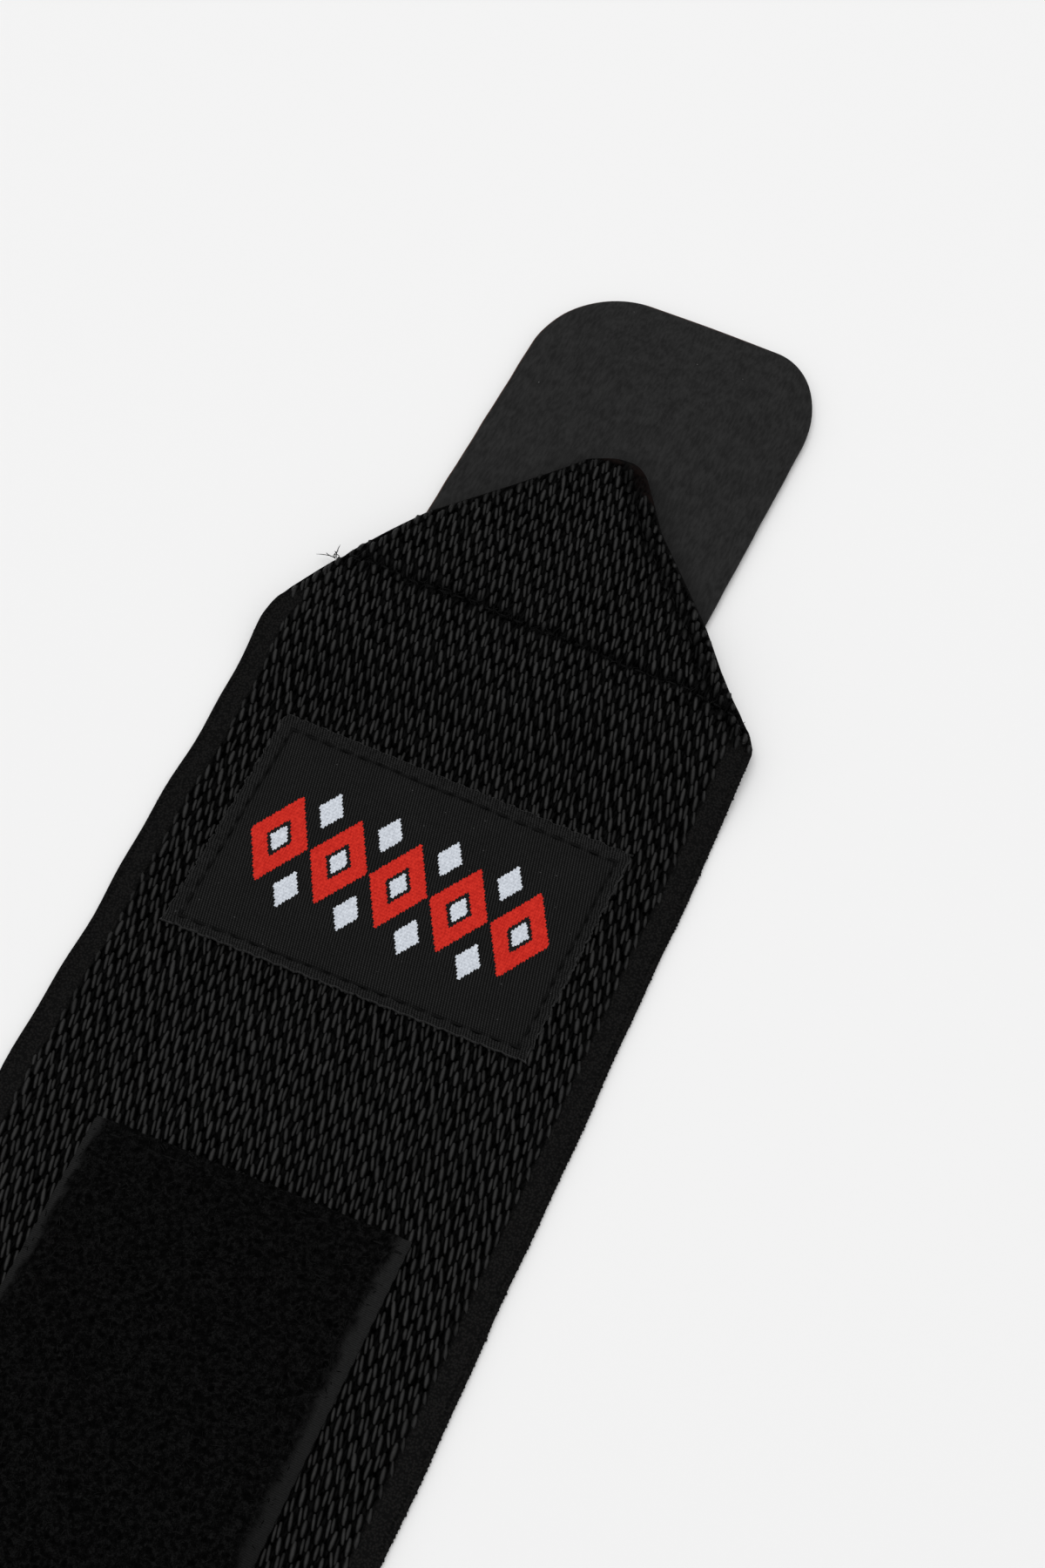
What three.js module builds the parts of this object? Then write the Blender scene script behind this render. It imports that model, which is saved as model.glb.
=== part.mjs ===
// Ankle wrap laid out flat: a wide woven elastic band whose end corners are folded under to a point,
// with a hook tab sewn under the point, a woven label and a loop pad sewn on its face.
// Millimetres. X runs across the band, +Y towards the hook tab, +Z up from the surface it lies on.

import * as THREE from 'three';

// Whole wrap
const wrapLength = 600; // far hem to the free end of the hook tab
const bandWidth = 80;
const sewnGap = 0.3; // between two layers that are sewn together

// Elastic band
const elasticThickness = 1.5;
const selvedgeWidth = 3.7;
const selvedgeThickness = 1.0;
const selvedgeStep = 0.6; // width over which the weave drops to the selvedge
const edgeBevel = 0.35;
const hemLength = 12; // turned under once at the far end
const hemRamp = 14; // length over which the band comes down from the hem

// Point, where both end corners are folded under
const pointLength = 45.8; // shoulders to nose
const noseOffset = 1.5; // the nose sits a little to the right of the middle
const foldRadius = 1.5;
const riseLength = 17; // the face climbs over the folded corners and the tab in this length
const shoulderDroop = 1.5; // the shoulders hang lower than the middle, which the tab holds up
const stepWidth = 0.3; // steepness of the step at a turned-under edge
const foldEndHeight = 0.6; // height left at the very edge of a fold, as a share of its thickness
const foldEndInset = 0.3; // how far in a fold reaches its full height, as a share of its radius

// Seam across the point
const seamDepth = 0.4;
const seamHalfWidth = 1.1;

// Hook tab
const tabWidth = 49.6;
const tabShown = 34.5; // past the nose
const tabHidden = 39.3; // under the point, up to the seam
const tabBase = 0.6;
const hookHeight = 0.9;
const tabMargin = 1.6; // bare edge of the tape beside the hooks
const tabLean = 2.3; // degrees, the free end leans to the right
const tabRootOffset = -1;
const tabCorners = {
  left: { across: 15, along: 16, inset: 0 },
  right: { across: 11.5, along: 17, inset: 0.6 }, // this corner is cut a little shorter
};
const cutSlopeFrom = 0.45; // where that shorter cut begins and ends, as shares of the tab's width
const cutSlopeTo = 0.95;

// Woven label
const labelWidth = 58.5;
const labelHeight = 39.2;
const labelThickness = 0.8;
const labelTurn = -1.8; // degrees
const labelTaper = 1.1; // the left edge is taller and the right edge shorter by this much
const noseToLabel = 66.6; // nose to the label's upper edge

// Loop pad
const padWidth = 48.9;
const padLength = 190;
const padBase = 0.7;
const pileHeight = 1.2;
const padMargin = 2.6; // smooth edge of the tape beside the pile
const padTurn = -0.3; // degrees
const padOffset = 0.85;
const labelToPad = 32;

const noseY = wrapLength / 2 - tabShown;
const shoulderY = noseY - pointLength;
const farEndY = -wrapLength / 2;
const halfBand = bandWidth / 2;
const tabThickness = tabBase + hookHeight;
const tabStack = tabThickness + sewnGap;
const levelHalf = tabWidth / 2 + 2; // the face is level across the tab up to here
const leanAngle = THREE.MathUtils.degToRad(tabLean);
const labelTopY = noseY - noseToLabel;
const labelCentreY = labelTopY - labelHeight / 2;
const padTopY = labelTopY - labelHeight - labelToPad;

// Outline of the point: places along it as shares of its length, edges as shares of the half width.
const pointOutline = [
  { along: -0.08, left: 1.0, right: 1.0 },
  { along: -0.03, left: 0.993, right: 1.0 },
  { along: 0.0, left: 0.983, right: 1.0 },
  { along: 0.045, left: 0.967, right: 0.995 },
  { along: 0.1, left: 0.932, right: 0.958 },
  { along: 0.15, left: 0.9, right: 0.903 },
  { along: 0.205, left: 0.861, right: 0.837 },
  { along: 0.29, left: 0.796, right: 0.748 },
  { along: 0.43, left: 0.691, right: 0.618 },
  { along: 0.52, left: 0.623, right: 0.52 },
  { along: 0.751, left: 0.369, right: 0.268 },
  { along: 0.9, left: 0.211, right: 0.151 },
  { along: 0.961, left: 0.152, right: 0.103 },
  { along: 0.989, left: 0.078, right: 0.065 },
  { along: 1.0, left: 0.025, right: 0.028 },
];

// Rows of the band over the point, as shares of the point's length at its left, middle and right.
// folded marks the rows where the turned-under corner lies below the face.
const pointRows = [
  { left: 0.03, middle: 0.12, right: 0.03, folded: false },
  { left: 0.03, middle: 0.12, right: 0.03, folded: true },
  { left: 0.1, middle: 0.15, right: 0.08, folded: true },
  { left: 0.235, middle: 0.195, right: 0.142, folded: true, seam: true },
  { left: 0.3, middle: 0.28, right: 0.25, folded: true },
  { left: 0.36, middle: 0.36, right: 0.35, folded: true },
  { left: 0.43, middle: 0.43, right: 0.43, folded: true },
  { left: 0.52, middle: 0.52, right: 0.52, folded: true },
  { left: 0.63, middle: 0.63, right: 0.63, folded: true },
  { left: 0.751, middle: 0.751, right: 0.751, folded: true },
  { left: 0.83, middle: 0.83, right: 0.83, folded: true },
  { left: 0.9, middle: 0.9, right: 0.9, folded: true },
  { left: 0.961, middle: 0.961, right: 0.961, folded: true },
  { left: 0.989, middle: 0.989, right: 0.989, folded: true },
  { left: 1.0, middle: 1.0, right: 1.0, folded: true },
];

// Rows of the rise before the shoulders, as shares of the rise.
const riseRows = [0.0, 0.14, 0.28, 0.42, 0.56, 0.7, 0.84, 0.94];

// Rows of the ramp down from the hem, as shares of the ramp.
const rampRows = [0.25, 0.5, 0.75, 1];

// Edges of the band from its outline inwards. Heights are shares of the thickness there.
const selvedgeEdge = [
  { inset: 0, top: 0.8, bottom: 0.25 },
  { inset: edgeBevel, top: 1, bottom: 0 },
  { inset: selvedgeWidth, top: 1, bottom: 0 },
  { inset: selvedgeWidth + selvedgeStep, top: 1, bottom: 0 },
];
const edgeShareOfNose = 3; // near the nose the edge profiles take a third of the width each
const levelShareOfNose = 0.9;
const foldedEdge = [
  { inset: 0, top: 0.62, bottom: 0.38 },
  { inset: foldRadius * foldEndInset, top: 0.86, bottom: 0.14 },
  { inset: foldRadius, top: 1, bottom: 0 },
  { inset: foldRadius * 2, top: 1, bottom: 0 },
];

// Stations between the edges: from the middle to where the shoulders start to droop, then to the edge.
const middleStations = [
  { outer: -0.5, level: -1 },
  { outer: 0, level: -1 },
  { outer: 0, level: -0.5 },
  { outer: 0, level: 0 },
  { outer: 0, level: 0.5 },
  { outer: 0, level: 1 },
  { outer: 0.5, level: 1 },
];

const lerp = (from, to, share) => from + (to - from) * share;
const smooth = (from, to, value) => THREE.MathUtils.smoothstep(value, from, to);

// Value of one column of a table at a place between its rows.
function columnAt(table, key, column, place) {
  const last = table.length - 1;
  if (place <= table[0][key]) return table[0][column];
  if (place >= table[last][key]) return table[last][column];
  const next = table.findIndex((row) => row[key] > place);
  const low = table[next - 1];
  const high = table[next];
  const share = (place - low[key]) / (high[key] - low[key]);
  return lerp(low[column], high[column], share);
}

// Closed slab of cloth. Rows run towards +Y and stations towards +X, each with its top and bottom.
function slab(rows) {
  const columns = rows[0].length;
  const underside = rows.length * columns;
  const positions = [];
  for (const side of ['top', 'bottom']) {
    for (const row of rows) {
      for (const station of row) positions.push(station.x, station.y, station[side]);
    }
  }
  const faces = [];
  const quad = (a, b, c, d) => faces.push(a, b, c, a, c, d);
  const at = (row, column) => row * columns + column;
  for (let row = 0; row < rows.length - 1; row += 1) {
    for (let column = 0; column < columns - 1; column += 1) {
      const near = at(row, column);
      const far = at(row + 1, column);
      quad(near, near + 1, far + 1, far);
      quad(underside + near, underside + far, underside + far + 1, underside + near + 1);
    }
    const left = [at(row, 0), at(row + 1, 0)];
    const right = [at(row, columns - 1), at(row + 1, columns - 1)];
    quad(left[0], left[1], underside + left[1], underside + left[0]);
    quad(right[1], right[0], underside + right[0], underside + right[1]);
  }
  for (let column = 0; column < columns - 1; column += 1) {
    const first = at(0, column);
    const last = at(rows.length - 1, column);
    quad(first + 1, first, underside + first, underside + first + 1);
    quad(last, last + 1, underside + last + 1, underside + last);
  }
  const geometry = new THREE.BufferGeometry();
  geometry.setAttribute('position', new THREE.Float32BufferAttribute(positions, 3));
  geometry.setIndex(faces);
  geometry.computeVertexNormals();
  return geometry;
}

function piece(name, geometry, color, roughness) {
  const material = new THREE.MeshStandardMaterial({ color, roughness, metalness: 0 });
  const mesh = new THREE.Mesh(geometry, material);
  mesh.name = name;
  return mesh;
}

// Outline of the whole band at a place along it.
function bandEdges(y) {
  const along = (y - shoulderY) / pointLength;
  const shift = noseOffset * smooth(0, 1, along);
  return {
    left: shift - halfBand * columnAt(pointOutline, 'along', 'left', along),
    right: shift + halfBand * columnAt(pointOutline, 'along', 'right', along),
  };
}

// Height of the face's underside: flat on the surface, up over the hem, up over the corners and the tab.
function faceBottom(x, y) {
  const hem = 1 - smooth(farEndY + hemLength, farEndY + hemLength + hemRamp, y);
  const rise = smooth(shoulderY - riseLength, shoulderY + stepWidth, y);
  const droop = shoulderDroop * smooth(levelHalf, halfBand, Math.abs(x));
  return hem * elasticThickness + rise * (elasticThickness + tabStack - droop);
}

// Stations across the band between its two outlines, edge profile first.
function bandRow(places, folded, seamDrop) {
  const leftEdge = bandEdges(places.left).left;
  const rightEdge = bandEdges(places.right).right;
  const width = rightEdge - leftEdge;
  const fold = smooth(shoulderY - stepWidth, shoulderY + foldRadius, places.left);
  const edge = selvedgeEdge.map((plain, index) => ({
    inset: lerp(plain.inset, foldedEdge[index].inset, fold),
    top: lerp(plain.top, foldedEdge[index].top, fold),
    bottom: lerp(plain.bottom, foldedEdge[index].bottom, fold),
    thickness: index < 3 ? lerp(selvedgeThickness, elasticThickness, fold) : elasticThickness,
  }));
  const innerInset = edge[edge.length - 1].inset;
  const squeeze = Math.min(1, width / (innerInset * edgeShareOfNose));
  const full = { top: 1, bottom: 0, thickness: elasticThickness };
  const middle = (leftEdge + rightEdge) / 2;
  const innerHalf = width / 2 - innerInset * squeeze;
  const level = Math.min(levelHalf - Math.abs(middle), innerHalf * levelShareOfNose);
  const profile = [
    ...edge.map((step) => ({ ...step, x: leftEdge + step.inset * squeeze })),
    ...middleStations.map((station) => ({
      ...full,
      x: middle + station.level * level + station.outer * (innerHalf - level),
    })),
    ...edge.map((step) => ({ ...step, x: rightEdge - step.inset * squeeze })).reverse(),
  ];
  return profile.map((step) => {
    const share = (step.x - leftEdge) / width;
    const ends = lerp(places.left, places.right, share);
    const bulge = places.middle - (places.left + places.right) / 2;
    const y = ends + bulge * 4 * share * (1 - share);
    const underLayer = folded ? elasticThickness : 0;
    const lowest = faceBottom(step.x, y) - underLayer;
    const thickness = step.thickness + underLayer;
    return {
      x: step.x,
      y,
      top: lowest + thickness * step.top - seamDrop,
      bottom: lowest + thickness * step.bottom,
    };
  });
}

const straightRow = (y, folded = false) => bandRow({ left: y, middle: y, right: y }, folded, 0);

// The outermost row of a fold, drawn in above and below so that the fold is round.
function roundedEnd(row) {
  return row.map((station) => {
    const middle = (station.top + station.bottom) / 2;
    const half = ((station.top - station.bottom) * foldEndHeight) / 2;
    return { ...station, top: middle + half, bottom: middle - half };
  });
}

function hemRows() {
  const hemEdge = farEndY + hemLength;
  return [
    roundedEnd(straightRow(farEndY, true)),
    straightRow(farEndY + foldRadius * foldEndInset, true),
    straightRow(hemEdge - stepWidth, true),
    straightRow(hemEdge),
    ...rampRows.map((share) => straightRow(hemEdge + hemRamp * share)),
  ];
}

function climbRows() {
  return riseRows.map((share) => straightRow(shoulderY - riseLength * (1 - share)));
}

function foldedPointRows() {
  const rows = [];
  for (const row of pointRows) {
    const placed = (offset) => ({
      left: shoulderY + pointLength * row.left + offset,
      middle: shoulderY + pointLength * row.middle + offset,
      right: shoulderY + pointLength * row.right + offset,
    });
    if (row.seam) {
      rows.push(bandRow(placed(-seamHalfWidth), row.folded, 0));
      rows.push(bandRow(placed(0), row.folded, seamDepth));
      rows.push(bandRow(placed(seamHalfWidth), row.folded, 0));
    } else {
      rows.push(bandRow(placed(row.folded ? 0 : -stepWidth), row.folded, 0));
    }
  }
  rows.push(roundedEnd(rows.pop()));
  return rows;
}

function elasticBand() {
  const rows = [...hemRows(), ...climbRows(), ...foldedPointRows()];
  return piece('elastic_band', slab(rows), 0x1f1f20, 0.85);
}

// The leaning tab's highest corner ends the wrap, so its own length is a little less than its reach.
function tabLength() {
  const highCorner = tabWidth / 2 - tabCorners.left.across;
  return (tabHidden + tabShown - highCorner * Math.sin(leanAngle)) / Math.cos(leanAngle);
}

// How far a rounded corner pulls the side edge in, at a distance from the free end.
function cornerPull(corner, fromEnd) {
  const reach = THREE.MathUtils.clamp((fromEnd - corner.inset) / corner.along, 0, 1);
  return corner.across * (1 - Math.sqrt(1 - (1 - reach) ** 2));
}

// Hook tape: a thin woven base above, the field of hooks below it, free end with two round corners.
function hookTab() {
  const length = tabLength();
  const ends = [0, tabMargin, tabMargin + stepWidth];
  const cornerSteps = 8;
  const corner = Math.max(tabCorners.left.along, tabCorners.right.along + tabCorners.right.inset);
  const places = [0, length * 0.3, length * 0.6];
  for (let step = 0; step <= cornerSteps; step += 1) {
    places.push(length - corner * (1 - Math.sin((step / cornerSteps) * (Math.PI / 2))));
  }
  const rows = places.map((place) => {
    const left = -tabWidth / 2 + cornerPull(tabCorners.left, length - place);
    const right = tabWidth / 2 - cornerPull(tabCorners.right, length - place);
    const profile = [
      ...ends.map((inset, index) => ({ x: left + inset, bottom: index < 2 ? hookHeight : 0 })),
      { x: (left + right) / 2, bottom: 0 },
      ...ends.map((inset, index) => ({ x: right - inset, bottom: index < 2 ? hookHeight : 0 })).reverse(),
    ];
    const shorter = tabCorners.right.inset;
    return profile.map((step) => {
      const share = (step.x + tabWidth / 2) / tabWidth;
      const y = place - shorter * smooth(cutSlopeFrom, cutSlopeTo, share) * (place / length);
      return { x: step.x, y, top: tabThickness, bottom: step.bottom };
    });
  });
  const tab = piece('hook_tab', slab(rows), 0x2b2b2c, 0.7);
  tab.position.set(tabRootOffset, noseY - tabHidden, 0);
  tab.rotation.z = -leanAngle;
  return tab;
}

// Thickness shares of a sewn-on edge: thin at the cut, a shallow groove under the stitches.
const sewnEdge = [
  { inset: 0, height: 0.7 },
  { inset: 1.2, height: 1.0 },
  { inset: 2.3, height: 0.62 },
  { inset: 3.4, height: 1.0 },
];

function insetPlaces(length) {
  const near = sewnEdge.map((step) => step.inset);
  const far = near.map((inset) => length - inset).reverse();
  return [...near, length / 2, ...far];
}

function sewnHeight(place, length) {
  return columnAt(sewnEdge, 'inset', 'height', Math.min(place, length - place));
}

function wovenLabel() {
  const rows = insetPlaces(labelHeight).map((up) =>
    insetPlaces(labelWidth).map((across) => {
      const taper = labelTaper * (1 - (2 * across) / labelWidth);
      const x = across - labelWidth / 2;
      const y = (up - labelHeight / 2) * (1 + taper / labelHeight);
      const height = Math.min(sewnHeight(up, labelHeight), sewnHeight(across, labelWidth));
      return { x, y, top: labelThickness * height, bottom: 0 };
    }),
  );
  const label = piece('woven_label', slab(rows), 0x262627, 0.75);
  label.position.set(0, labelCentreY, elasticThickness + sewnGap);
  label.rotation.z = THREE.MathUtils.degToRad(labelTurn);
  return label;
}

// Loop tape: a thin woven base with smooth edges, and the pile standing on its middle.
function loopPad() {
  const ends = [
    { inset: 0, pile: 0 },
    { inset: padMargin, pile: 0 },
    { inset: padMargin + stepWidth, pile: 1 },
  ];
  const stations = [
    ...ends.map((step) => ({ x: step.inset - padWidth / 2, pile: step.pile })),
    { x: 0, pile: 1 },
    ...ends.map((step) => ({ x: padWidth / 2 - step.inset, pile: step.pile })).reverse(),
  ];
  const rows = insetPlaces(padLength).map((up) =>
    stations.map((station) => ({
      x: station.x,
      y: up - padLength,
      top: padBase + pileHeight * station.pile * sewnHeight(up, padLength),
      bottom: 0,
    })),
  );
  const pad = piece('loop_pad', slab(rows), 0x1b1b1c, 0.95);
  pad.position.set(padOffset, padTopY, elasticThickness + sewnGap);
  pad.rotation.z = THREE.MathUtils.degToRad(padTurn);
  return pad;
}

const wrap = new THREE.Group();
wrap.add(elasticBand(), hookTab(), wovenLabel(), loopPad());

export default wrap;
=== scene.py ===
import math

import bpy
import numpy as np
from mathutils import Matrix, Vector


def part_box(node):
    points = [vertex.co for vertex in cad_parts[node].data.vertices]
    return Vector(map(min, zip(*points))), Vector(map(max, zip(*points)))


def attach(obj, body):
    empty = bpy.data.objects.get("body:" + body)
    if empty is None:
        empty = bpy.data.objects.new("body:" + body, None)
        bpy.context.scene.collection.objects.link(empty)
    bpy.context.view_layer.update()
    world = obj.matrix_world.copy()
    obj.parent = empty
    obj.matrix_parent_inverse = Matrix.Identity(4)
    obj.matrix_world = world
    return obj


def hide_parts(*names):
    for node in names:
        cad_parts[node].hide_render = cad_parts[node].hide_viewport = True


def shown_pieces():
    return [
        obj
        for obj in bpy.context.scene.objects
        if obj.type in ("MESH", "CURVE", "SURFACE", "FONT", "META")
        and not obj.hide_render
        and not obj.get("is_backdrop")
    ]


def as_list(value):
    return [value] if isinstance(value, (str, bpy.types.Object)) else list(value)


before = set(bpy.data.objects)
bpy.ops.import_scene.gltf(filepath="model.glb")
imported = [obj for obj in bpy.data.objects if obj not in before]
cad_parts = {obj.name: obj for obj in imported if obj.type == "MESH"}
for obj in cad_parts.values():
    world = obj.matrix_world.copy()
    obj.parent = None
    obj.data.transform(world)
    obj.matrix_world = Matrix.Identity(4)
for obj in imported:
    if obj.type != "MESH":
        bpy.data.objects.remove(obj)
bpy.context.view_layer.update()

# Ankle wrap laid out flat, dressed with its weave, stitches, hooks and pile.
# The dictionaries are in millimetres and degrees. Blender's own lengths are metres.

mm = 0.001
draw = np.random.default_rng(41)
print("frame:", ", ".join(sorted(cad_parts)))


def linked(name, data):  # a new object in the scene
    made = bpy.data.objects.new(name, data)
    bpy.context.scene.collection.objects.link(made)
    return made


def facing(direction):
    return Vector(direction).to_track_quat("-Z", "Y").to_euler()


# Camera at the viewing angle of the photograph
lookout = {
    "place": (104.46, -19.47, 375.39),
    "towards": (-0.21284, 0.49931, -0.83988),
    "lens": 67.44,
}
camera = linked("camera", bpy.data.cameras.new("camera"))
camera.data.lens = lookout["lens"]
camera.data.clip_start = 0.01
camera.location = Vector(lookout["place"]) * mm
camera.rotation_euler = facing(lookout["towards"])
bpy.context.scene.camera = camera


# An operator that adds a Math node
def sums(operation, swapped=False):
    def added(self, value):
        return self.board.math(operation, *((value, self) if swapped else (self, value)))

    return added


# A socket of a node tree
class Wire:
    __add__, __radd__ = sums("ADD"), sums("ADD", True)
    __sub__, __rsub__ = sums("SUBTRACT"), sums("SUBTRACT", True)
    __mul__, __rmul__ = sums("MULTIPLY"), sums("MULTIPLY", True)
    __truediv__, __pow__ = sums("DIVIDE"), sums("POWER")

    def __init__(self, board, socket):
        self.board, self.socket = board, socket

    def __getitem__(self, name):  # another output of the same node
        return Wire(self.board, self.socket.node.outputs[name])


# A node tree that nodes are added to
class Board:
    def __init__(self, tree):
        self.tree = tree

    def node(self, kind, values=None, output=0, **settings):  # the settings are set first
        made = self.tree.nodes.new(kind)
        for name, setting in settings.items():
            setattr(made, name, setting)
        for name, value in (values or {}).items():
            if isinstance(value, Wire):
                self.tree.links.new(value.socket, made.inputs[name])
            else:
                made.inputs[name].default_value = value
        return Wire(self, made.outputs[output]) if len(made.outputs) else made

    def math(self, operation, *values):
        return self.node("ShaderNodeMath", dict(enumerate(values)), operation=operation)

    def vector(self, operation, values):
        return self.node("ShaderNodeVectorMath", values, operation=operation)

    def joined(self, **values):  # a vector from its X, Y and Z
        return self.node("ShaderNodeCombineXYZ", values)

    def parts(self, vector):  # x, y and z of a vector
        x = self.node("ShaderNodeSeparateXYZ", {"Vector": vector}, "X")
        return x, x["Y"], x["Z"]

    def step(self, value, low, high):  # 0 below low, 1 above high, smooth between
        values = {"Value": value, "From Min": low, "From Max": high}
        return self.node("ShaderNodeMapRange", values, interpolation_type="SMOOTHSTEP")

    def size(self, value):
        return self.math("ABSOLUTE", value)

    def mix(self, share, first, second):  # of two colours
        values = {0: share, 6: first, 7: second}
        return self.node("ShaderNodeMix", values, 2, data_type="RGBA", clamp_factor=True)

    def attribute(self, name, output="Vector"):
        return self.node("ShaderNodeAttribute", {}, output, attribute_name=name)

    def carried(self, name):  # a vector that every point carries, in Geometry Nodes
        kind = "GeometryNodeInputNamedAttribute"
        return self.node(kind, {"Name": name}, data_type="FLOAT_VECTOR")

    def plan(self):  # object coordinates in millimetres, as a vector
        place = self.node("ShaderNodeTexCoord", {}, "Object")
        return self.vector("SCALE", {"Vector": place, "Scale": 1 / mm})

    def upright(self):  # 1 where the surface lies flat, 0 where it stands
        return self.size(self.parts(self.node("ShaderNodeNewGeometry", {}, "Normal"))[2])

    def mapped(self, place, size, stretch=(1, 1, 1), turn=0):
        scale = [share / size for share in stretch]
        values = {"Vector": place, "Rotation": (0, 0, math.radians(turn)), "Scale": scale}
        return self.node("ShaderNodeMapping", values)

    def noise(self, place, size, detail=2.0, stretch=(1, 1, 1), turn=0, warp=0.0):
        mapped = self.mapped(place, size, stretch, turn)
        values = {"Vector": mapped, "Scale": 1.0, "Detail": detail, "Distortion": warp}
        return self.node("ShaderNodeTexNoise", values)

    def curls(self, place, size, warp, sharp):  # thin curly lines, 1 on the line
        value = self.noise(place, size, 1.0, warp=warp)
        return self.math("MAXIMUM", 1 - self.size(value - 0.5) * sharp, 0.0)

    def cells(self, place, size):  # distance from the nearest scattered point
        values = {"Vector": self.mapped(place, size), "Scale": 1.0}
        return self.node("ShaderNodeTexVoronoi", values, "Distance")

    def ribs(self, x, y, pitch, turn):  # even ribs, 0 to 1, running at turn degrees from Y
        across = x * math.cos(math.radians(turn)) + y * math.sin(math.radians(turn))
        return self.math("SINE", across * (2 * math.pi / pitch)) * 0.5 + 0.5

    def surface(self, colour, roughness, height, depth):  # depth of the relief in millimetres
        values = {"Height": height, "Distance": depth * mm, "Strength": 1.0}
        bump = self.node("ShaderNodeBump", values)
        return {"Base Color": colour, "Normal": bump, "Roughness": roughness}


def grey(value, warmth=0.0):
    return (value * (1 + warmth), value, value * (1 - warmth), 1)


def newFinish(name, look, gloss=0.5):
    material = bpy.data.materials.new(name)
    material.use_nodes = True
    material.node_tree.nodes.clear()
    board = Board(material.node_tree)
    values = {**look(board), "Specular IOR Level": gloss}
    shader = board.node("ShaderNodeBsdfPrincipled", values)
    board.node("ShaderNodeOutputMaterial", {"Surface": shader})
    return material


# Shapes and places
def smooth(low, high, value):
    share = np.clip((value - low) / (high - low), 0, 1)
    return share * share * (3 - 2 * share)


def spread(low, high, rims, count):  # places from low to high, closer together at both rims
    inner = np.linspace(low + rims[-1], high - rims[-1], count)[1:-1]
    return np.concatenate([low + rims, inner, (high - rims)[::-1]])


def turnedBy(degrees, across, up):
    sine, cosine = math.sin(math.radians(degrees)), math.cos(math.radians(degrees))
    return across * cosine - up * sine, across * sine + up * cosine


def laidAt(origin, turn, across, up, height):  # from a piece's own plan into place
    x, y = turnedBy(turn, across, up)
    return np.stack([x + origin[0], y + origin[1], height + 0 * x], -1)


def newMesh(name, points, fields):  # loose vertices, with their attributes
    mesh = bpy.data.meshes.new(name)
    mesh.vertices.add(len(points))
    mesh.vertices.foreach_set("co", (np.asarray(points) * mm).astype(np.float32).ravel())
    for key, values in fields.items():
        values = np.asarray(values, np.float32)
        kind, field = ("FLOAT_VECTOR", "vector") if values.ndim == 2 else ("FLOAT", "value")
        mesh.attributes.new(key, kind, "POINT").data.foreach_set(field, values.ravel())
    return mesh


def newPiece(name, points, faces, finish, fields=None):
    mesh = newMesh(name, points, fields or {})
    faces = np.asarray(faces, np.int32)
    mesh.loops.add(faces.size)
    mesh.loops.foreach_set("vertex_index", faces.ravel())
    mesh.polygons.add(len(faces))
    starts = np.arange(0, faces.size, faces.shape[1], dtype=np.int32)
    mesh.polygons.foreach_set("loop_start", starts)
    mesh.update(calc_edges=True)
    mesh.validate()
    mesh.polygons.foreach_set("use_smooth", np.ones(len(faces), bool))
    mesh.materials.append(finish)
    return linked(name, mesh)


# A closed sheet from its upper and lower grids, rows towards +Y and columns towards +X
def newSheet(name, grids, finish, crease):
    upper, lower, fields = grids
    under = upper.shape[0] * upper.shape[1]
    at = np.arange(under).reshape(upper.shape[:2])
    near, far = at[:-1], at[1:]
    top = [near[:, :-1], near[:, 1:], far[:, 1:], far[:, :-1]]
    rims = [
        (near[:, 0], far[:, 0]), (far[:, -1], near[:, -1]),
        (at[0, 1:], at[0, :-1]), (at[-1, :-1], at[-1, 1:]),
    ]
    groups = [top, [top[corner] + under for corner in (0, 3, 2, 1)]]
    groups += [[start, end, end + under, start + under] for start, end in rims]
    faces = np.concatenate([np.stack([c.ravel() for c in group], 1) for group in groups])
    points = np.concatenate([upper.reshape(-1, 3), lower.reshape(-1, 3)])
    fields = {
        key: np.concatenate([grid.reshape(under, -1).squeeze()] * 2)
        for key, grid in fields.items()
    }
    piece = newPiece(name, points, faces, finish, fields)
    piece.data.set_sharp_from_angle(angle=math.radians(crease))
    return piece


# Threads along paths, with pointed ends
def newThreads(name, paths, radius, finish, sides):
    points, faces, count = [], [], 0
    for path in paths:
        run = np.gradient(path, axis=0)
        run /= np.linalg.norm(run, axis=1)[:, None]
        helper = np.where(np.abs(run[:, 2:3]) > 0.9, [[1.0, 0, 0]], [[0, 0, 1.0]])
        side = np.cross(run, helper)
        side /= np.linalg.norm(side, axis=1)[:, None]
        up = np.cross(side, run)
        taper = np.full(len(path), radius)
        taper[[0, -1]] *= 0.35
        angles = np.arange(sides)[None, :, None] * 2 * np.pi / sides
        around = np.cos(angles) * side[:, None] + np.sin(angles) * up[:, None]
        rings = path[:, None] + taper[:, None, None] * around
        points += [rings.reshape(-1, 3), path[:1], path[-1:]]
        last = count + (len(path) - 1) * sides
        tip = last + sides
        for corner in range(sides):
            following = (corner + 1) % sides
            for ring in range(count, last, sides):
                a, b = ring + corner, ring + following
                faces += [(b + sides, b, a), (a + sides, b + sides, a)]
            faces.append((count + corner, count + following, tip))
            faces.append((last + following, last + corner, tip + 1))
        count = tip + 2
    return newPiece(name, np.concatenate(points), faces, finish)


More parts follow.
